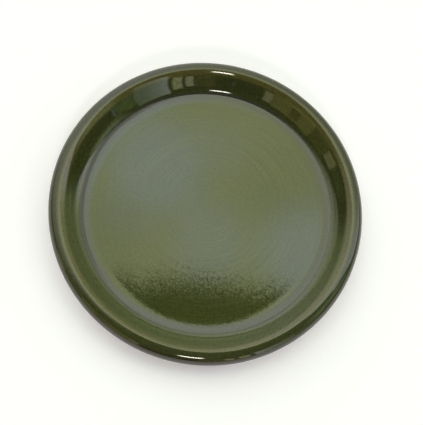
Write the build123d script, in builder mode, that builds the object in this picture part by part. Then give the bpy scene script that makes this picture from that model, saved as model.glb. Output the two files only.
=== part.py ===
"""Glazed stoneware saucer for a plant pot.

A flat floor on a low foot ring carries a short sloping wall that ends in a thick rounded lip.
The fired clay body and the glass coat fused over it are separate solids that share one surface.
Millimetres, +Z up. The origin is the centre of the circle on which the foot stands.
"""

import os

from math import cos, radians, sin

from build123d import *

# Overall sizes, measured over the glaze.
outer_diameter = 250.0
total_height = 25.0
inner_depth = 14.5

# Lip: a large rounding outside and a smaller one inside, which meet at the crest.
lip_outer_radius = 9.0
lip_inner_radius = 2.8

# Inner wall: steepest half-way up, from where its slope eases by the same bend down to the cove and up
# to the lip. Below the cove, a margin rises gently from the flat floor.
wall_slope = 53.0
wall_bend = 13.0
cove_radius = 5.9
margin_slope = 4.0
margin_radius = 134.0

# Outer wall: nearly upright, with a turned bevel above the foot.
outer_taper = 5.0
bevel_height = 6.0
bevel_edge_radius = 2.0

# Foot ring, trimmed on the wheel.
foot_diameter = 226.0
foot_width = 9.0
foot_recess = 2.6
foot_edge_radius = 0.9

# Glaze coat, which stops a little above the bevel in a rounded edge.
glaze_thickness = 0.6
glaze_line_rise = 1.6
glaze_edge_radius = 0.45

# How far cutting shapes reach past what they cut.
overrun = 5.0

half_diameter = outer_diameter / 2
floor_height = total_height - inner_depth
glaze_line_height = bevel_height + glaze_line_rise
mid_floor_height = (foot_recess + floor_height) / 2
foot_radius = foot_diameter / 2
foot_inner_radius = foot_radius - foot_width

eased_slope = wall_slope - wall_bend

slope = radians(wall_slope)
eased = radians(eased_slope)
rise = radians(margin_slope)
taper = radians(outer_taper)

# The wall's two equal bends take what the roundings above and below them leave of the depth.
margin_rise = margin_radius * (1 - cos(rise))
cove_rise = cove_radius * (cos(rise) - cos(eased))
lip_drop = lip_inner_radius * (1 - cos(eased))
wall_rise = inner_depth - margin_rise - cove_rise - lip_drop
wall_radius = wall_rise / 2 / (cos(eased) - cos(slope))
crest_radius = half_diameter - lip_outer_radius
flat_radius = (
    crest_radius
    - lip_inner_radius * sin(eased)
    - 2 * wall_radius * (sin(slope) - sin(eased))
    - cove_radius * (sin(eased) - sin(rise))
    - margin_radius * sin(rise)
)

# The outer wall runs from the end of the lip's rounding down to the bevel.
lip_end_height = total_height - lip_outer_radius * (1 + sin(taper))
outer_wall_length = (lip_end_height - bevel_height) / cos(taper)

# Half of the saucer's section over the glaze, from the axis out over the lip and back under the foot.
with BuildSketch(Plane.XZ) as saucer_section:
    with BuildLine():
        flat = Line((0, floor_height), (flat_radius, floor_height))
        margin = JernArc(flat @ 1, flat % 1, margin_radius, margin_slope)
        cove = JernArc(margin @ 1, margin % 1, cove_radius, eased_slope - margin_slope)
        wall_hollow = JernArc(cove @ 1, cove % 1, wall_radius, wall_bend)
        wall_swell = JernArc(wall_hollow @ 1, wall_hollow % 1, wall_radius, -wall_bend)
        lip_inside = JernArc(wall_swell @ 1, wall_swell % 1, lip_inner_radius, -eased_slope)
        lip_outside = JernArc(lip_inside @ 1, lip_inside % 1, lip_outer_radius, -90 - outer_taper)
        outer_wall = PolarLine(lip_outside @ 1, outer_wall_length, -90 - outer_taper)
        bevel_top = outer_wall @ 1
        Polyline(
            bevel_top,
            (foot_radius, 0),
            (foot_inner_radius, 0),
            (foot_inner_radius, foot_recess),
            (0, foot_recess),
            (0, floor_height),
        )
    make_face()
    corners = saucer_section.vertices()
    at_foot = corners.filter_by_position(Axis.Y, 0, foot_recess).filter_by_position(
        Axis.X, foot_inner_radius, foot_radius
    )
    fillet(at_foot, foot_edge_radius)
    fillet(saucer_section.vertices().sort_by_distance(bevel_top)[0], bevel_edge_radius)

# The skin of that section, from the axis over the lip and down the outer wall to the glaze line.
# Inside the crest only the skin under the floor is cut away, so the floor may lie below the glaze line.
with BuildSketch(Plane.XZ) as glaze_band:
    add(saucer_section.sketch_local)
    mirror(about=Plane.YZ)
    offset(amount=-glaze_thickness, mode=Mode.SUBTRACT)
    with BuildLine():
        Polyline(
            (0, mid_floor_height),
            (crest_radius, mid_floor_height),
            (crest_radius, glaze_line_height),
            (half_diameter + overrun, glaze_line_height),
            (half_diameter + overrun, total_height + overrun),
            (0, total_height + overrun),
            close=True,
        )
    make_face(mode=Mode.INTERSECT)


# Glass coat over the floor, the wall, the lip and the outer wall.
with BuildPart() as glaze_coat:
    with BuildSketch(Plane.XZ) as coat_section:
        add(glaze_band.sketch_local)
        glaze_edge = (half_diameter, glaze_line_height)
        fillet(coat_section.vertices().sort_by_distance(glaze_edge)[0], glaze_edge_radius)
    revolve(axis=Axis.Z)
glaze_coat.part.label = "glaze_coat"


# Fired clay under the coat, bare on the bevel, the foot ring and the underside.
with BuildPart() as clay_body:
    with BuildSketch(Plane.XZ):
        add(saucer_section.sketch_local)
        add(glaze_band.sketch_local, mode=Mode.SUBTRACT)
    revolve(axis=Axis.Z)
clay_body.part.label = "clay_body"


os.makedirs("parts", exist_ok=True)
for piece in (clay_body, glaze_coat):
    export_step(piece.part, f"parts/{piece.part.label}.step")
print(f"crest radius {crest_radius:.1f}, flat floor radius {flat_radius:.1f}, floor height {floor_height:.1f}")
print(f"radius of the wall's bends {wall_radius:.1f}")
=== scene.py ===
"""Looks of the plant saucer: its glazed and bare surfaces, a white floor, soft light and the camera.

Everything is in metres and degrees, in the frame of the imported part, +Z up, with the foot on z = 0.
"""

from collections import namedtuple
from math import atan, cos, radians, sin, tan
from types import SimpleNamespace

import bpy
import numpy as np

from mathutils import Matrix, Vector


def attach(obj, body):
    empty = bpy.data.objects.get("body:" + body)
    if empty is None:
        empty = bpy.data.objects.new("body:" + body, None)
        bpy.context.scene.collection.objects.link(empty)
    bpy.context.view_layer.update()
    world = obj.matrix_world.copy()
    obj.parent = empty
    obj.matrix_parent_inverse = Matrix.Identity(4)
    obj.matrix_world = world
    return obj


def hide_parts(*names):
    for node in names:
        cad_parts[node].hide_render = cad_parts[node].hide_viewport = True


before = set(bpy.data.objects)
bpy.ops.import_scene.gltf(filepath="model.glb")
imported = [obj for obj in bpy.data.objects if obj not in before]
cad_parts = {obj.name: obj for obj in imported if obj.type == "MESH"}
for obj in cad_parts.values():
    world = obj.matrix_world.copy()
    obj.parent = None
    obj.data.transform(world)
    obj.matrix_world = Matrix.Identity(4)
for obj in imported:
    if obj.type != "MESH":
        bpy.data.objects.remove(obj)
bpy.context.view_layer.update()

MM = 0.001
RIGHT_ANGLE = 90.0

# The saucer's section, with the same sizes as the solids.
outer_diameter = 250.0 * MM
total_height = 25.0 * MM
inner_depth = 14.5 * MM
lip_outer_radius = 9.0 * MM
lip_inner_radius = 2.8 * MM
wall_slope = 53.0
wall_bend = 13.0
cove_radius = 5.9 * MM
margin_slope = 4.0
margin_radius = 134.0 * MM
outer_taper = 5.0
bevel_height = 6.0 * MM
bevel_edge_radius = 2.0 * MM
foot_radius = 113.0 * MM
foot_width = 9.0 * MM
foot_recess = 2.6 * MM
foot_edge_radius = 0.9 * MM
glaze_thickness = 0.6 * MM
glaze_line_height = 7.6 * MM
glaze_edge_radius = 0.45 * MM

# Throwing rings on the floor.
ring_pitch = 7.0 * MM
ring_height = 0.0012 * MM
ring_fade_radius = 8.0 * MM
ring_phase = 1.0

# Fine relief of the glaze and the clay.
slow_wave_height = 0.008 * MM
wheel_line_height = 0.03 * MM
clay_grain_height = 0.1 * MM

# The near side, which has painted light (lighter glaze colours), ends softly along a line a little askew
# to X, and the left side along Y. The wide near side, with painted light on the wall foot, fades out
# further back.
near_side_skew = 0.15
near_side_change = (-18.0 * MM, 15.0 * MM)
wide_near_side_change = (25.0 * MM, 85.0 * MM)
left_change = (-85.0 * MM, -35.0 * MM)

# Brown spots where the glaze has pitted: x and y, then how far they spread, in millimetres.
brown_spots = [(97.1, -5.1, 1.8), (96.8, -28.2, 2.0), (90.4, -50.6, 1.4), (-57.1, -18.5, 1.3)]

# Fineness of the turned meshes.
turn_steps = 288
floor_spacing = 0.9 * MM
curve_spacing = 0.4 * MM
hidden_spacing = 2.5 * MM
roll_steps = 5
corner_steps = 6

# Stage: a floor under a dome of glowing patches in layers, each patch a mesh of rows and columns.
floor_size = 40.0
dome_radius = 24.0
layer_depth = 0.5
patch_columns = 161
patch_rows = 49

# Camera, from the fit of the photographed outline and rings.
picture_width = 423
picture_height = 425
camera_elevation = 72.5
camera_roll = 16.65
camera_distance = 625.0 * MM
focal_pixels = 796.0
crest_pixel_x = 208.6
crest_pixel_y = 203.4
sensor_size = 36.0

# Sizes that follow from those of the section.
half_diameter = outer_diameter / 2
floor_height = total_height - inner_depth
crest_radius = half_diameter - lip_outer_radius
eased_slope = wall_slope - wall_bend
slope = radians(wall_slope)
eased = radians(eased_slope)
rise = radians(margin_slope)
margin_rise = margin_radius * (1 - cos(rise))
cove_rise = cove_radius * (cos(rise) - cos(eased))
lip_drop = lip_inner_radius * (1 - cos(eased))
wall_rise = inner_depth - margin_rise - cove_rise - lip_drop
wall_radius = wall_rise / 2 / (cos(eased) - cos(slope))
flat_radius = (
    crest_radius
    - lip_inner_radius * sin(eased)
    - 2 * wall_radius * (sin(slope) - sin(eased))
    - cove_radius * (sin(eased) - sin(rise))
    - margin_radius * sin(rise)
)
lip_end_height = total_height - lip_outer_radius * (1 + sin(radians(outer_taper)))
glazed_drop = (lip_end_height - glaze_line_height) / cos(radians(outer_taper))

# Places along the glazed section, measured on its surface from the axis outwards.
margin_end = flat_radius + margin_radius * rise
cove_end = margin_end + cove_radius * (eased - rise)
wall_end = cove_end + 2 * wall_radius * radians(wall_bend)
crest_station = wall_end + lip_inner_radius * eased

# Bands of the glaze along the section: the middle, the width, and how softly the band ends.
margin_band = (margin_end - 1.0 * MM, 4.6 * MM, 1.9 * MM)
dull_band = (margin_end, 1.8 * MM, 1.2 * MM)
wall_foot_band = (cove_end - 1.4 * MM, 2.8 * MM, 1.4 * MM)
wall_band = ((cove_end + wall_end) / 2, 12.0 * MM, 3.0 * MM)
crest_band = (crest_station - 2.5 * MM, 2.8 * MM, 2.2 * MM)

# Changes of the glaze along the section: where each starts and ends. Slow noise shifts them, and all bands
# but the wall's, by up to half the wobble. The outside starts earlier on the near side, by the lead.
wall_change = (margin_end - 1.0 * MM, cove_end)
outside_change = (crest_station + 0.8 * MM, crest_station + 3.5 * MM)
low_outside_change = (crest_station + 5.0 * MM, crest_station + 8.0 * MM)
near_outside_lead = 2.2 * MM
section_wobble = 2.0 * MM


# Meshes: a section is traced as a pen moves, in straight runs and arcs, and turned about the axis.


def trace(start, heading, moves, spacing):
    """Points and headings along runs ("run", length) and arcs ("arc", radius, turn)."""
    points = [np.array(start, float)]
    headings = [heading]
    for move in moves:
        if move[0] == "run":
            length = move[1]
            steps = max(1, round(length / spacing))
            ahead = np.array([cos(radians(heading)), sin(radians(heading))])
            here = points[-1]
            for step in range(1, steps + 1):
                points.append(here + ahead * length * step / steps)
                headings.append(heading)
        else:
            radius, turn = move[1:]
            steps = max(2, round(radius * radians(abs(turn)) / spacing))
            side = 1 if turn > 0 else -1
            to_left = np.array([-sin(radians(heading)), cos(radians(heading))])
            centre = points[-1] + to_left * radius * side
            for step in range(1, steps + 1):
                now = heading + turn * step / steps
                left_now = np.array([-sin(radians(now)), cos(radians(now))])
                points.append(centre - left_now * radius * side)
                headings.append(now)
            heading += turn
    return np.array(points), np.array(headings)


def inward(points, headings, depth):
    """The same line, moved to its right-hand side by depth."""
    angle = np.radians(headings)
    return points - depth * np.column_stack([-np.sin(angle), np.cos(angle)])


def lengths(points):
    """Distance along a line of points from its first one."""
    steps = np.linalg.norm(np.diff(points, axis=0), axis=1)
    return np.concatenate([[0], np.cumsum(steps)])


# The glazed surface from the axis over the lip down to the glaze line, in radius and height.
top_moves = (
    ("run", flat_radius),
    ("arc", margin_radius, margin_slope),
    ("arc", cove_radius, eased_slope - margin_slope),
    ("arc", wall_radius, wall_bend),
    ("arc", wall_radius, -wall_bend),
    ("arc", lip_inner_radius, -eased_slope),
    ("arc", lip_outer_radius, -RIGHT_ANGLE - outer_taper),
    ("run", glazed_drop),
)
flat_points = trace((0, floor_height), 0, top_moves[:1], floor_spacing)[0]
curve_points = trace(flat_points[-1], 0, top_moves[1:], curve_spacing)[0]
top_points = np.concatenate([flat_points, curve_points[1:]])
top_points[-1, 1] = glaze_line_height

# The clay right under the glaze. The two meshes share its points.
coarse_points, coarse_headings = trace((0, floor_height), 0, top_moves, hidden_spacing)
interface = inward(coarse_points, coarse_headings, glaze_thickness)
interface[0, 0] = 0
interface[-1, 1] = glaze_line_height


def swept(points, azimuths):
    """World points of a section turned about the axis."""
    radius = points[:, 0][:, None]
    height = points[:, 1][:, None] + 0 * azimuths[None, :]
    turn = azimuths[None, :]
    return np.stack([radius * np.cos(turn), radius * np.sin(turn), height], -1)


def turned(name, points, station, lift=None):
    """A closed mesh from a section that starts and ends on the axis."""
    azimuths = np.linspace(0, 2 * np.pi, turn_steps, endpoint=False)
    rings = swept(points[1:-1], azimuths)
    if lift is not None:
        rings[:, :, 2] += lift(points[1:-1], azimuths)
    ring_count = len(rings)
    ends = np.array([[0, 0, points[0, 1]], [0, 0, points[-1, 1]]])
    vertices = np.concatenate([rings.reshape(-1, 3), ends])
    first_end = ring_count * turn_steps
    index = np.arange(first_end).reshape(ring_count, turn_steps)
    beside = np.roll(index, -1, axis=1)
    quads = np.stack([index[:-1], index[1:], beside[1:], beside[:-1]], -1).reshape(-1, 4)
    faces = quads.tolist()
    faces += [(first_end, here, there) for here, there in zip(index[0].tolist(), beside[0].tolist())]
    faces += [(first_end + 1, there, here) for here, there in zip(index[-1].tolist(), beside[-1].tolist())]
    mesh = bpy.data.meshes.new(name)
    mesh.from_pydata(vertices.tolist(), [], faces)
    mesh.shade_smooth()
    along = np.concatenate([np.repeat(station[1:-1], turn_steps), station[[0, -1]]])
    attribute = mesh.attributes.new("station", "FLOAT", "POINT")
    attribute.data.foreach_set("value", along.astype(np.float32))
    mesh.validate()
    piece = bpy.data.objects.new(name, mesh)
    bpy.context.scene.collection.objects.link(piece)
    return piece


def throwing_rings(points, azimuths):
    """Low spiral ridges left by the potter's fingers on the flat floor."""
    radius = points[:, 0][:, None]
    on_floor = (points[:, 1] >= floor_height - glaze_thickness / 2)[:, None]
    phase = 2 * np.pi * radius / ring_pitch - azimuths[None, :]
    uneven = 1 + np.sin(radius / ring_pitch + ring_phase)
    inner = np.clip(radius / ring_fade_radius, 0, 1)
    outer = np.clip((flat_radius - radius) / ring_fade_radius, 0, 1)
    return on_floor * ring_height * np.sin(phase) * uneven * inner * outer


def glaze_piece():
    """The glass coat, closed underneath by the surface it shares with the clay."""
    edge_radius = top_points[-1, 0]
    angle = np.radians(np.linspace(0, -RIGHT_ANGLE, roll_steps))
    roll = np.column_stack(
        [
            edge_radius - glaze_edge_radius + glaze_edge_radius * np.cos(angle),
            glaze_line_height + glaze_edge_radius + glaze_edge_radius * np.sin(angle),
        ]
    )
    above_roll = top_points[:, 1] > glaze_line_height + glaze_edge_radius
    kept = above_roll | (top_points[:, 0] < crest_radius)
    section = np.concatenate([top_points[kept], roll, interface[::-1]])
    return turned("saucer_glaze", section, lengths(section), throwing_rings)


def rounded(corners, spacing):
    """A line through corners (x, y, radius) with each corner rounded."""
    made = [np.array(corners[0][:2], float)]
    for before, corner, after in zip(corners, corners[1:], corners[2:]):
        here = np.array(corner[:2], float)
        back = np.array(before[:2]) - here
        ahead = np.array(after[:2]) - here
        back /= np.linalg.norm(back)
        ahead /= np.linalg.norm(ahead)
        half_angle = np.arccos(np.clip(back @ ahead, -1, 1)) / 2
        reach = corner[2] / tan(half_angle)
        bisector = (back + ahead) / np.linalg.norm(back + ahead)
        centre = here + bisector * corner[2] / sin(half_angle)
        first = here + back * reach - centre
        last = here + ahead * reach - centre
        start = np.arctan2(first[1], first[0])
        turn = (np.arctan2(last[1], last[0]) - start + np.pi) % (2 * np.pi) - np.pi
        for angle in start + turn * np.linspace(0, 1, corner_steps):
            made.append(centre + corner[2] * np.array([cos(angle), sin(angle)]))
    made.append(np.array(corners[-1][:2], float))
    filled = [made[0]]
    for point in made[1:]:
        here = filled[-1]
        steps = max(1, round(np.linalg.norm(point - here) / spacing))
        filled += [here + (point - here) * step / steps for step in range(1, steps + 1)]
    return np.array(filled)


def clay_piece():
    """The fired clay, bare below the glaze line and under the floor."""
    edge_radius = top_points[-1, 0]
    inset = (glaze_line_height - bevel_height) * tan(radians(outer_taper))
    corners = [
        (edge_radius, glaze_line_height, 0),
        (edge_radius - inset, bevel_height, bevel_edge_radius),
        (foot_radius, 0, foot_edge_radius),
        (foot_radius - foot_width, 0, foot_edge_radius),
        (foot_radius - foot_width, foot_recess, foot_edge_radius),
        (0, foot_recess, 0),
    ]
    section = np.concatenate([interface, rounded(corners, hidden_spacing)])
    return turned("saucer_clay", section, lengths(section))


# Shader nodes.


def put(socket, value):
    """Joins an output to a socket, or writes a plain value on it."""
    if isinstance(value, bpy.types.NodeSocket):
        socket.id_data.links.new(value, socket)
    else:
        socket.default_value = value


def node(tree, kind, inputs=None, **settings):
    """A node with its settings and inputs filled in. The helpers below give back its output."""
    made = tree.nodes.new("ShaderNode" + kind)
    for name, value in settings.items():
        setattr(made, name, value)
    for name, value in (inputs or {}).items():
        put(made.inputs[name], value)
    return made


def calculate(tree, operation, *values):
    return node(tree, "Math", dict(enumerate(values)), operation=operation).outputs[0]


def times(tree, first, second):
    return calculate(tree, "MULTIPLY", first, second)


def vector_math(tree, operation, *values, output="Vector"):
    return node(tree, "VectorMath", dict(enumerate(values)), operation=operation).outputs[output]


def noise(tree, vector, scale, detail=2.0, roughness=0.5, output="Fac"):
    inputs = {"Vector": vector, "Scale": scale, "Detail": detail, "Roughness": roughness}
    return node(tree, "TexNoise", inputs).outputs[output]


def spread(tree, value, low, high, to_low=0.0, to_high=1.0):
    """Maps low..high smoothly to to_low..to_high."""
    inputs = {"Value": value, "From Min": low, "From Max": high, "To Min": to_low, "To Max": to_high}
    return node(tree, "MapRange", inputs, interpolation_type="SMOOTHSTEP").outputs["Result"]


def band(tree, value, centre, width, softness):
    """1 within width of centre, falling to 0 over softness."""
    offset = calculate(tree, "ABSOLUTE", calculate(tree, "SUBTRACT", value, centre))
    return spread(tree, offset, width / 2, width / 2 + softness, 1.0, 0.0)


# A pattern is noise of a scale, in waves per metre, whose low..high is mapped smoothly to to_low..to_high.
Pattern = namedtuple(
    "Pattern",
    "scale low high to_low to_high detail roughness",
    defaults=(0.0, 1.0, 2.0, 0.5),
)


def patterned(tree, vector, pattern):
    made = noise(tree, vector, pattern.scale, pattern.detail, pattern.roughness)
    return spread(tree, made, pattern.low, pattern.high, pattern.to_low, pattern.to_high)


def blend_colours(tree, factor, first, second):
    """The Mix node has sockets of every type, so its colour sockets are taken by number."""
    made = node(tree, "Mix", {0: factor, 6: first, 7: second}, data_type="RGBA")
    return made.outputs[2]


def bump(tree, height, distance, strength=1.0, normal=None):
    inputs = {"Strength": strength, "Distance": distance, "Height": height}
    if normal is not None:
        inputs["Normal"] = normal
    return node(tree, "Bump", inputs).outputs[0]


# The curve of the sRGB standard, which is straight near black.
full_byte = 255
srgb_straight_end = 0.04045
srgb_straight_slope = 12.92
srgb_offset = 0.055
srgb_power = 2.4


def linear(red, green, blue):
    """An 8-bit sRGB colour as the linear colour that a shader takes."""
    shares = np.array([red, green, blue]) / full_byte
    straight = shares / srgb_straight_slope
    curved = ((shares + srgb_offset) / (1 + srgb_offset)) ** srgb_power
    return (*np.where(shares <= srgb_straight_end, straight, curved).tolist(), 1.0)


def new_material(name):
    """An empty material and its node tree."""
    material = bpy.data.materials.new(name)
    material.use_nodes = True
    material.node_tree.nodes.clear()
    return material, material.node_tree


def finish_material(tree, shader):
    output = node(tree, "OutputMaterial")
    put(output.inputs["Surface"], shader.outputs[0])


# Glaze: its colours, and how strongly some of them cover what is under them.
floor_green = linear(54, 63, 32)
floor_olive = linear(60, 66, 32)
floor_cool_green = linear(54, 64, 38)
pale_streak_green = linear(74, 80, 40)
dark_streak_green = linear(42, 50, 20)
wall_dark_green = linear(46, 51, 24)
wall_light_green = linear(58, 63, 33)
# Painted light: the near wall's green is lighter than the rest of the wall.
near_wall_painted_light_green = linear(78, 86, 52)
wall_line_green = linear(50, 60, 30)
# Painted light: a lighter green for the foot of the wall towards the near side.
wall_foot_painted_light_green = linear(84, 91, 62)
margin_violet = linear(50, 48, 57)
dull_violet = linear(36, 33, 42)
crest_amber = linear(90, 85, 46)
# Painted light: the amber is lighter on the near side.
near_crest_painted_light_amber = linear(94, 91, 57)
outside_green = linear(50, 53, 27)
# Painted light: the green outside the crest is lighter on the near side.
near_outside_painted_light_green = linear(57, 62, 36)
# Brown where the glaze runs thin low on the outside, made darker still as painted shade.
low_outside_brown_and_painted_shade = linear(44, 36, 11)
dark_grain_green = linear(36, 38, 16)
pale_grain_green = linear(84, 92, 50)
speck_brown = linear(84, 62, 34)
spot_brown = linear(52, 38, 30)
wall_foot_share = 0.9
margin_share = 0.85
dull_share = 0.8
crest_share = 0.75
speck_share = 0.7
spot_share = 0.8
spot_core_share = 1 / 3

# Its patterns. A range maps noise from its first two values to its last two. For lines round the axis the
# distance across them is scaled first, and the noise's own scale says how soon they change on their way.
noise_middle = 0.5
section_wobble_scale = 28.0
broad_patches = Pattern(scale=9.0, low=0.35, high=0.65, detail=3.0)
cool_patches = Pattern(scale=14.0, low=0.5, high=0.75)
line_scale = 1.0
streaks_across = 900.0
streak_detail = 3.0
streak_roughness = 0.6
pale_streak_range = (0.4, 0.75, 0.0, 0.7)
dark_streak_range = (0.25, 0.48, 0.65, 0.0)
streaky_patches = Pattern(scale=16.0, low=0.4, high=0.62, to_low=0.35)
runs_across = 3.0
wall_runs = Pattern(scale=110.0, low=0.3, high=0.7)
wall_lines_across = 900.0
wall_lines = Pattern(scale=line_scale, low=0.3, high=0.7, to_low=0.3, to_high=0.0)
grain_scale = 560.0
grain_detail = 1.0
dark_grain_range = (0.48, 0.75, 0.0, 0.34)
pale_grain_range = (0.25, 0.48, 0.22, 0.0)

# Iron specks, at most one to a cell. One shows more as the cell's random number passes the chance. Its edge
# lies between two distances from the cell's point, in cells.
speck_cells = 80.0
speck_chance = (0.6, 0.8)
speck_edge = (0.03, 0.07)

# Its relief: the tilt of the fine orange peel, slow waves, and lines that the wheel left on the wall.
peel_scale = 1050.0
peel_detail = 1.0
floor_tilt = 0.036
wall_tilt = 0.012
slow_wave_scale = 260.0
wheel_lines_across = 600.0
wheel_line_detail = 1.0

# Its gloss.
glaze_ior = 1.6
glaze_roughness = 0.05
near_wall_roughness = 0.17
dull_ring_roughness = 0.3


def glaze_places(tree):
    """What the looks of the glaze depend on: where a point lies, and how far it is in each region."""
    place = node(tree, "TexCoord").outputs["Object"]
    split = node(tree, "SeparateXYZ", {"Vector": place}).outputs
    plan = node(tree, "CombineXYZ", {"X": split["X"], "Y": split["Y"]}).outputs[0]
    heading = node(tree, "SeparateXYZ", {"Vector": vector_math(tree, "NORMALIZE", plan)}).outputs
    station = node(tree, "Attribute", attribute_name="station").outputs["Fac"]
    wobble = calculate(tree, "SUBTRACT", noise(tree, place, section_wobble_scale), noise_middle)
    along = calculate(tree, "ADD", station, times(tree, wobble, section_wobble))
    across = calculate(tree, "SUBTRACT", split["Y"], times(tree, split["X"], near_side_skew))
    left = spread(tree, split["X"], *left_change, 1.0, 0.0)
    return SimpleNamespace(
        place=place,
        radius=vector_math(tree, "LENGTH", plan, output="Value"),
        heading_x=heading["X"],
        heading_y=heading["Y"],
        station=station,
        along=along,
        near_side=spread(tree, across, *near_side_change, 1.0, 0.0),
        wide_near_side=spread(tree, across, *wide_near_side_change, wall_foot_share, 0.0),
        on_wall=band(tree, station, *wall_band),
        dull_ring=times(tree, band(tree, along, *dull_band), left),
    )


def round_the_axis(tree, at, distance, lines_per_metre):
    """A place for noise that runs in lines round the axis."""
    inputs = {"X": at.heading_x, "Y": at.heading_y, "Z": times(tree, distance, lines_per_metre)}
    return node(tree, "CombineXYZ", inputs).outputs[0]


def floor_colour(tree, at):
    """Mottled in broad soft patches, with streaks where the glaze lies thinner on the throwing rings."""
    colour = blend_colours(tree, patterned(tree, at.place, broad_patches), floor_green, floor_olive)
    colour = blend_colours(tree, patterned(tree, at.place, cool_patches), colour, floor_cool_green)
    lines = round_the_axis(tree, at, at.radius, streaks_across)
    streaks = noise(tree, lines, line_scale, streak_detail, streak_roughness)
    streaky = patterned(tree, at.place, streaky_patches)
    pale = times(tree, spread(tree, streaks, *pale_streak_range), streaky)
    colour = blend_colours(tree, pale, colour, pale_streak_green)
    dark = times(tree, spread(tree, streaks, *dark_streak_range), streaky)
    return blend_colours(tree, dark, colour, dark_streak_green)


def wall_colour(tree, at):
    """Green, where the glaze has run down and the wheel has left lines, and painted light on the near side.
    """
    runs = patterned(tree, round_the_axis(tree, at, at.station, runs_across), wall_runs)
    colour = blend_colours(tree, runs, wall_dark_green, wall_light_green)
    colour = blend_colours(tree, at.near_side, colour, near_wall_painted_light_green)
    lines = patterned(tree, round_the_axis(tree, at, at.station, wall_lines_across), wall_lines)
    return blend_colours(tree, lines, colour, wall_line_green)


def inside_colour(tree, at):
    """The floor and the wall, with painted light on the foot of the wall towards the near side, and a
    violet grey margin.
    """
    in_wall = spread(tree, at.along, *wall_change)
    colour = blend_colours(tree, in_wall, floor_colour(tree, at), wall_colour(tree, at))
    # Painted light: the foot of the wall is lighter towards the near side.
    painted_light_foot = times(tree, band(tree, at.along, *wall_foot_band), at.wide_near_side)
    colour = blend_colours(tree, painted_light_foot, colour, wall_foot_painted_light_green)
    margin = times(tree, band(tree, at.along, *margin_band), margin_share)
    colour = blend_colours(tree, margin, colour, margin_violet)
    return blend_colours(tree, times(tree, at.dull_ring, dull_share), colour, dull_violet)


def lip_colour(tree, at, colour):
    """Amber where the glaze runs thin inside the crest, green outside it, brown with painted shade low
    down.
    """
    # Painted light: the amber is lighter on the near side.
    amber = blend_colours(tree, at.near_side, crest_amber, near_crest_painted_light_amber)
    thin = times(tree, band(tree, at.along, *crest_band), crest_share)
    colour = blend_colours(tree, thin, colour, amber)
    lead = times(tree, at.near_side, near_outside_lead)
    outside = spread(tree, calculate(tree, "ADD", at.along, lead), *outside_change)
    # Painted light: the green outside the crest is lighter on the near side.
    outside_colour = blend_colours(tree, at.near_side, outside_green, near_outside_painted_light_green)
    colour = blend_colours(tree, outside, colour, outside_colour)
    # Painted shade: the brown low on the outside is darker than the thin glaze alone.
    low_outside = spread(tree, at.along, *low_outside_change)
    return blend_colours(tree, low_outside, colour, low_outside_brown_and_painted_shade)


def marked_colour(tree, at, colour):
    """Fine grain all over, a few brown iron specks, and the pitted spots."""
    grain = noise(tree, at.place, grain_scale, grain_detail)
    colour = blend_colours(tree, spread(tree, grain, *dark_grain_range), colour, dark_grain_green)
    colour = blend_colours(tree, spread(tree, grain, *pale_grain_range), colour, pale_grain_green)

    cells = node(tree, "TexVoronoi", {"Vector": at.place, "Scale": speck_cells}).outputs
    chance = node(tree, "SeparateColor", {"Color": cells["Color"]}).outputs[0]
    speck = spread(tree, cells["Distance"], *speck_edge, 1.0, 0.0)
    speck = times(tree, speck, spread(tree, chance, *speck_chance))
    colour = blend_colours(tree, times(tree, speck, speck_share), colour, speck_brown)

    for centre_x, centre_y, size in brown_spots:
        centre = (centre_x * MM, centre_y * MM, floor_height)
        apart = vector_math(tree, "DISTANCE", at.place, centre, output="Value")
        spot = spread(tree, apart, size * spot_core_share * MM, size * MM, spot_share, 0.0)
        colour = blend_colours(tree, spot, colour, spot_brown)
    return colour


def rippled_normal(tree, at):
    """Relief of the glass, which ripples what it mirrors."""
    peel = noise(tree, at.place, peel_scale, peel_detail, output="Color")
    tilt = vector_math(tree, "SUBTRACT", peel, (noise_middle, noise_middle, noise_middle))
    steepness = spread(tree, at.station, flat_radius, margin_end, floor_tilt, wall_tilt)
    tilt = node(tree, "VectorMath", {0: tilt, "Scale": steepness}, operation="SCALE").outputs["Vector"]
    facing = node(tree, "NewGeometry").outputs["Normal"]
    facing = vector_math(tree, "NORMALIZE", vector_math(tree, "ADD", facing, tilt))
    waved = bump(tree, noise(tree, at.place, slow_wave_scale), slow_wave_height, normal=facing)
    lines = round_the_axis(tree, at, at.station, wheel_lines_across)
    wheel_lines = noise(tree, lines, line_scale, wheel_line_detail)
    return bump(tree, wheel_lines, wheel_line_height, at.on_wall, waved)


def glaze_gloss(tree, at):
    """Roughness: satin on the near wall, dull on the ring at the left, and glossy elsewhere."""
    satin = times(tree, times(tree, at.near_side, at.on_wall), near_wall_roughness)
    dull = times(tree, at.dull_ring, dull_ring_roughness)
    return calculate(tree, "ADD", calculate(tree, "ADD", satin, dull), glaze_roughness)


def glaze_material():
    """Olive-green glass: amber where it runs thin on the lip, violet grey where the floor turns up."""
    material, tree = new_material("green_glaze")
    at = glaze_places(tree)
    inputs = {
        "Base Color": marked_colour(tree, at, lip_colour(tree, at, inside_colour(tree, at))),
        "Roughness": glaze_gloss(tree, at),
        "IOR": glaze_ior,
        "Normal": rippled_normal(tree, at),
    }
    finish_material(tree, node(tree, "BsdfPrincipled", inputs))
    return material


# Bare clay: its colours, patterns and gloss.
clay_dark = linear(176, 146, 112)
clay_light = linear(196, 168, 132)
grog_brown = linear(96, 70, 48)
clay_patches = Pattern(scale=18.0, low=0.3, high=0.7, detail=4.0)
clay_grog = Pattern(scale=900.0, low=0.62, high=0.72, to_high=0.6, detail=1.0)
clay_grain_scale = 1400.0
clay_grain_detail = 3.0
clay_grain_strength = 0.6
clay_roughness = 0.85


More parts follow.
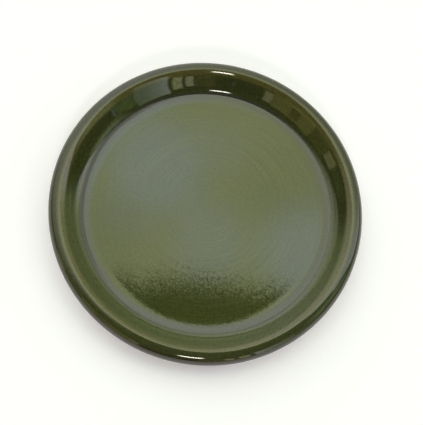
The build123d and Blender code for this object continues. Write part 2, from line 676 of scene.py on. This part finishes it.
def clay_material():
    """Bare fired stoneware: matt, warm and finely speckled."""
    material, tree = new_material("fired_clay")
    place = node(tree, "TexCoord").outputs["Object"]
    colour = blend_colours(tree, patterned(tree, place, clay_patches), clay_dark, clay_light)
    colour = blend_colours(tree, patterned(tree, place, clay_grog), colour, grog_brown)
    grain = noise(tree, place, clay_grain_scale, clay_grain_detail)
    normal = bump(tree, grain, clay_grain_height, clay_grain_strength)
    inputs = {"Base Color": colour, "Roughness": clay_roughness, "Normal": normal}
    finish_material(tree, node(tree, "BsdfPrincipled", inputs))
    return material


def dress(piece, cad_node, material):
    """Gives a piece its material and puts it in the place of a solid."""
    piece.data.materials.append(material)
    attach(piece, "root")
    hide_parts(cad_node)


dress(glaze_piece(), "glaze_coat", glaze_material())
dress(clay_piece(), "clay_body", clay_material())


# Floor: white paper. The lift is a glow of its own that only the camera and mirrored rays see, so that it
# renders white while the lamps stay at a plain level.
paper_colour = (0.90, 0.90, 0.98, 1)
paper_lift = (0.21, 0.21, 0.26, 1)


def make_floor():
    half = floor_size / 2
    mesh = bpy.data.meshes.new("floor")
    corners = [(-half, -half, 0), (half, -half, 0), (half, half, 0), (-half, half, 0)]
    mesh.from_pydata(corners, [], [(0, 1, 2, 3)])
    floor = bpy.data.objects.new("floor", mesh)
    bpy.context.scene.collection.objects.link(floor)
    material, tree = new_material("white_floor")
    path = node(tree, "LightPath").outputs
    seen = calculate(tree, "ADD", path["Is Camera Ray"], path["Is Glossy Ray"])
    seen = calculate(tree, "ADD", seen, path["Is Transmission Ray"])
    lift = node(tree, "Emission", {"Color": paper_lift, "Strength": seen})
    paper = node(tree, "BsdfDiffuse", {"Color": paper_colour})
    finish_material(tree, node(tree, "AddShader", {0: paper.outputs[0], 1: lift.outputs[0]}))
    mesh.materials.append(material)


def along_table(table):
    """A function of one angle that joins the (angle, value) pairs of a table."""
    angles, values = zip(*table)
    return lambda angle: np.interp(angle, angles, values)


# Surroundings, which stand all round as glowing patches of a dome. Azimuth 0 is +Y and grows towards +X.
# A patch lies between two azimuths and between a low and a high elevation, each a number or a function of
# the azimuth. Its glow is a linear colour, or a function of the azimuth and the elevation. Each edge is the
# middle of a fade over feather degrees. A higher layer lies further forward.
Patch = namedtuple("Patch", "name azimuths low high glow layer feather", defaults=(2, 1.0))

dark_glow = np.array([0.08, 0.07, 0.045])
warm_glow = np.array([2.22, 2.38, 1.34])
cool_glow = np.array([2.48, 2.72, 2.46])
key_level = 30.0
key_tint = np.array([1.0, 0.97, 0.86])

# The sky ends overhead at the edge of a dark canopy, and all round at a low horizon.
sky_low = along_table(
    [
        (-134, 80),
        (-128, 54),
        (-122, 36),
        (-114, 25),
        (-104, 20),
        (-97, 15),
        (-90, 12),
        (-82, 8),
        (-60, 0),
        (45, 0),
        (66, 10),
        (76, 19),
        (85, 45),
    ]
)
sky_high = along_table(
    [
        (-134, 85),
        (-60, 83),
        (-32, 80),
        (-24, 78.2),
        (-18, 79.2),
        (0, 78.4),
        (15, 77.4),
        (24, 76.6),
        (28, 75.2),
        (50, 75),
        (70, 72),
        (76, 60),
        (85, 47),
    ]
)

# How bright it is by elevation and by azimuth, and how that changes with the azimuth low down.
sky_gradient = along_table([(0, 0.6), (20, 0.6), (49, 0.7), (62, 0.95), (66, 1.0)])
sky_fade = along_table([(-134, 0.12), (-118, 0.2), (-104, 0.45), (-90, 0.62), (-75, 0.85), (-60, 1.0)])
low_fade = along_table([(-30, 1.0), (0, 0.8), (25, 0.5), (50, 0.55), (62, 1.3)])
low_sky_top = 55.0
low_sky_depth = 25.0

# Clouds lie on a flat ceiling one unit up, where the middle of the sky is a block with soft sides. Each has
# a place along X and Y, a size and a share.
cool_clouds = [
    (-0.088, 0.352, 0.062, 1.1),
    (0.150, 0.288, 0.066, 1.2),
    (0.017, 0.262, 0.052, 0.7),
    (-0.034, 0.315, 0.036, 0.4),
    (-0.012, 0.395, 0.042, 0.35),
    (-0.095, 0.275, 0.045, 0.35),
]
dim_clouds = [
    (0.10, 0.38, 0.06, 0.1),
    (-0.117, 0.24, 0.05, 0.12),
]
cloud_edge_power = 4
middle_half_x = 0.2
middle_centre_y = 0.3
middle_half_y = 0.18
middle_fade = 0.1
lowest_on_ceiling = 5.0

# Glow of the sky beside that middle.
side_red = 2.2
side_green = 2.27
side_blue = along_table(
    [(-134, 1.7), (-60, 1.8), (-35, 2.2), (0, 1.75), (25, 1.6), (55, 1.5), (66, 2.5)],
)


def clouded(ceiling_x, ceiling_y, clouds):
    """How far a few soft-edged round clouds cover a place on the ceiling."""
    cover = 0
    for centre_x, centre_y, size, share in clouds:
        distance = np.hypot(ceiling_x - centre_x, ceiling_y - centre_y)
        cover = cover + share * np.exp(-((distance / size) ** cloud_edge_power))
    return np.clip(cover, 0, 1)[..., None]


def sky_glow(azimuth, elevation):
    """Warm with cool clouds in the middle, more neutral beside it, and mostly dimmer low down."""
    outward = 1 / np.tan(np.radians(np.maximum(elevation, lowest_on_ceiling)))
    ceiling_x = outward * np.sin(np.radians(azimuth))
    ceiling_y = outward * np.cos(np.radians(azimuth))
    past_x = np.clip((np.abs(ceiling_x) - middle_half_x) / middle_fade, 0, 1)
    past_y = np.clip((np.abs(ceiling_y - middle_centre_y) - middle_half_y) / middle_fade, 0, 1)
    beside = np.clip(past_x + past_y, 0, 1)[..., None]
    glow = warm_glow + (cool_glow - warm_glow) * clouded(ceiling_x, ceiling_y, cool_clouds)
    glow = glow * (1 - clouded(ceiling_x, ceiling_y, dim_clouds))
    even = np.ones_like(azimuth)
    side_glow = np.stack([side_red * even, side_green * even, side_blue(azimuth)], -1)
    glow = glow + (side_glow - glow) * beside
    low = np.clip((low_sky_top - elevation) / low_sky_depth, 0, 1)
    level = sky_gradient(elevation) * sky_fade(azimuth) * (1 + low * (low_fade(azimuth) - 1))
    return glow * level[..., None]


# The window grows brighter from its first azimuth to its last.
window_azimuths = (117.0, 137.0)
window_dim = np.array([0.6, 0.78, 0.5])
window_gain = np.array([1.0, 1.0, 1.1])
window_power = 1.6

# Leaves let the sky through in small cells of a few rows and columns of the patch.
leaves_full = np.array([1.75, 1.77, 0.94])
leaves_seed = 7
leaf_rows = 3
leaf_columns = 9
leaf_least = 0.45
leaf_gain = 1.3
leaf_power = 2


def window_glow(azimuth, elevation):
    start, end = window_azimuths
    share = np.clip((azimuth - start) / (end - start), 0, 1)[..., None]
    return window_dim + window_gain * share**window_power


def leaves_glow(azimuth, elevation):
    rows, columns = azimuth.shape
    cells = (rows // leaf_rows + 1, columns // leaf_columns + 1)
    chance = np.random.default_rng(leaves_seed).random(cells)
    chance = np.repeat(np.repeat(chance, leaf_rows, axis=0), leaf_columns, axis=1)
    chance = chance[:rows, :columns, None]
    return leaves_full * (leaf_least + leaf_gain * chance**leaf_power)


dome = [
    Patch("dark_dome", (-180, 180), -2, 90, dark_glow, layer=0, feather=0.0),
    Patch("sky", (-134, 85), sky_low, sky_high, sky_glow, layer=1, feather=1.8),
    Patch("window", window_azimuths, 0, 31, window_glow),
    Patch("hedge", (106, 117), 0, 22, (0.36, 0.48, 0.19)),
    Patch("leaves", (139.5, 145), 3, 25, leaves_glow),
    Patch("gap", (147, 151.5), 5, 22, (1.6, 1.57, 0.92)),
    Patch("post", (103.8, 105.2), 0, 19, (0.46, 0.67, 0.6)),
    Patch("brown_wall", (152, 164), 0, 25, (0.3, 0.26, 0.1)),
    Patch("blue_glint", (173.2, 175), 9, 16, (0.3, 0.36, 0.4), layer=3),
    Patch("pale_gap", (-167.3, -161.7), 5, 24.5, (1.15, 1.1, 0.55)),
    Patch("tan_wall", (-161.7, -133), 2, 27, (0.68, 0.62, 0.19)),
    Patch("door", (-149, -144.5), 4, 20, (0.4, 0.33, 0.08), layer=3),
    Patch("porch", (-133, -120), 0, 24, (0.3, 0.26, 0.08)),
    Patch("bushes", (82, 106), 17, 46, (0.6, 0.75, 0.38), feather=8.0),
    Patch("far_gap", (-120, -111), 0, 16, (0.93, 0.91, 0.41)),
    Patch("far_hedge", (-111, -95), 0, 10, (0.16, 0.2, 0.08)),
    Patch("key", (160.8, 172.4), 35.3, 41.7, key_level * key_tint, layer=4, feather=2.4),
]


def elevation_of(edge, azimuth):
    """Elevations of an edge of a patch at its azimuths."""
    return edge(azimuth) if callable(edge) else np.full(patch_columns, edge)


def patch_angles(row):
    """Azimuths and elevations of a patch's points, and its edges with their fades.

    The rows of points lie closer together towards the upper edge.
    """
    spare = row.feather / 2
    across = np.linspace(row.azimuths[0] - spare, row.azimuths[1] + spare, patch_columns)
    bottom = elevation_of(row.low, across) - spare
    top = elevation_of(row.high, across) + spare
    up = np.sin(np.linspace(0, np.pi / 2, patch_rows))[:, None]
    return across + 0 * up, bottom + (top - bottom) * up, bottom, top


def patch_colours(row, azimuth, elevation, bottom, top):
    """Glow of each point of a patch, which fades to the dark dome at the edges."""
    colours = np.ones((patch_rows, patch_columns, 4))
    colours[..., :3] = row.glow(azimuth, elevation) if callable(row.glow) else row.glow
    if row.feather:
        sideways = np.minimum(azimuth - azimuth[0, 0], azimuth[0, -1] - azimuth)
        sideways = sideways * np.cos(np.radians(elevation))
        upwards = np.minimum(elevation - bottom, top - elevation)
        fade = np.clip(np.minimum(sideways, upwards) / row.feather, 0, 1)[..., None]
        colours[..., :3] = dark_glow + (colours[..., :3] - dark_glow) * fade
    return colours


def make_patch(row):
    """A mesh that carries its glow as an attribute, and that the camera doesn't see."""
    azimuth, elevation, bottom, top = patch_angles(row)
    turn = np.radians(azimuth)
    steep = np.radians(elevation)
    toward = np.stack([np.cos(steep) * np.sin(turn), np.cos(steep) * np.cos(turn), np.sin(steep)], -1)
    points = (dome_radius - row.layer * layer_depth) * toward
    index = np.arange(patch_rows * patch_columns).reshape(patch_rows, patch_columns)
    faces = np.stack([index[:-1, :-1], index[:-1, 1:], index[1:, 1:], index[1:, :-1]], -1)
    mesh = bpy.data.meshes.new(row.name)
    mesh.from_pydata(points.reshape(-1, 3).tolist(), [], faces.reshape(-1, 4).tolist())
    colours = patch_colours(row, azimuth, elevation, bottom, top)
    attribute = mesh.attributes.new("glow", "FLOAT_COLOR", "POINT")
    attribute.data.foreach_set("color", colours.ravel().astype(np.float32))
    patch = bpy.data.objects.new(row.name, mesh)
    bpy.context.scene.collection.objects.link(patch)
    material, tree = new_material(row.name)
    shine = node(tree, "Attribute", attribute_name="glow").outputs["Color"]
    finish_material(tree, node(tree, "Emission", {"Color": shine, "Strength": 1.0}))
    mesh.materials.append(material)
    patch.visible_camera = False


def make_world():
    """Plain white, which the camera sees behind the floor. The dome hides it from the saucer."""
    world = bpy.data.worlds.new("plain_white")
    bpy.context.scene.world = world
    world.use_nodes = True
    background = world.node_tree.nodes["Background"]
    background.inputs["Color"].default_value = (1, 1, 1, 1)
    background.inputs["Strength"].default_value = 1.0


def make_camera():
    """Looks down at the crest's centre, which lies at its pixel of the photograph."""
    elevation = radians(camera_elevation)
    back = Vector((0, -cos(elevation), sin(elevation)))
    crest = Vector((0, 0, total_height))
    data = bpy.data.cameras.new("camera")
    data.sensor_width = sensor_size
    data.lens = focal_pixels * sensor_size / max(picture_width, picture_height)
    camera = bpy.data.objects.new("camera", data)
    bpy.context.scene.collection.objects.link(camera)
    off_right = atan((picture_width / 2 - crest_pixel_x) / focal_pixels)
    off_down = atan((picture_height / 2 - crest_pixel_y) / focal_pixels)
    aim = back.to_track_quat("Z", "Y").to_matrix().to_4x4()
    aim = aim @ Matrix.Rotation(radians(camera_roll), 4, "Z")
    aim = aim @ Matrix.Rotation(-off_right, 4, "Y") @ Matrix.Rotation(-off_down, 4, "X")
    camera.matrix_world = Matrix.Translation(crest + back * camera_distance) @ aim
    bpy.context.scene.camera = camera


make_floor()
make_world()
for dome_row in dome:
    make_patch(dome_row)
make_camera()
bpy.context.scene.view_settings.view_transform = "Standard"

bpy.context.view_layer.update()
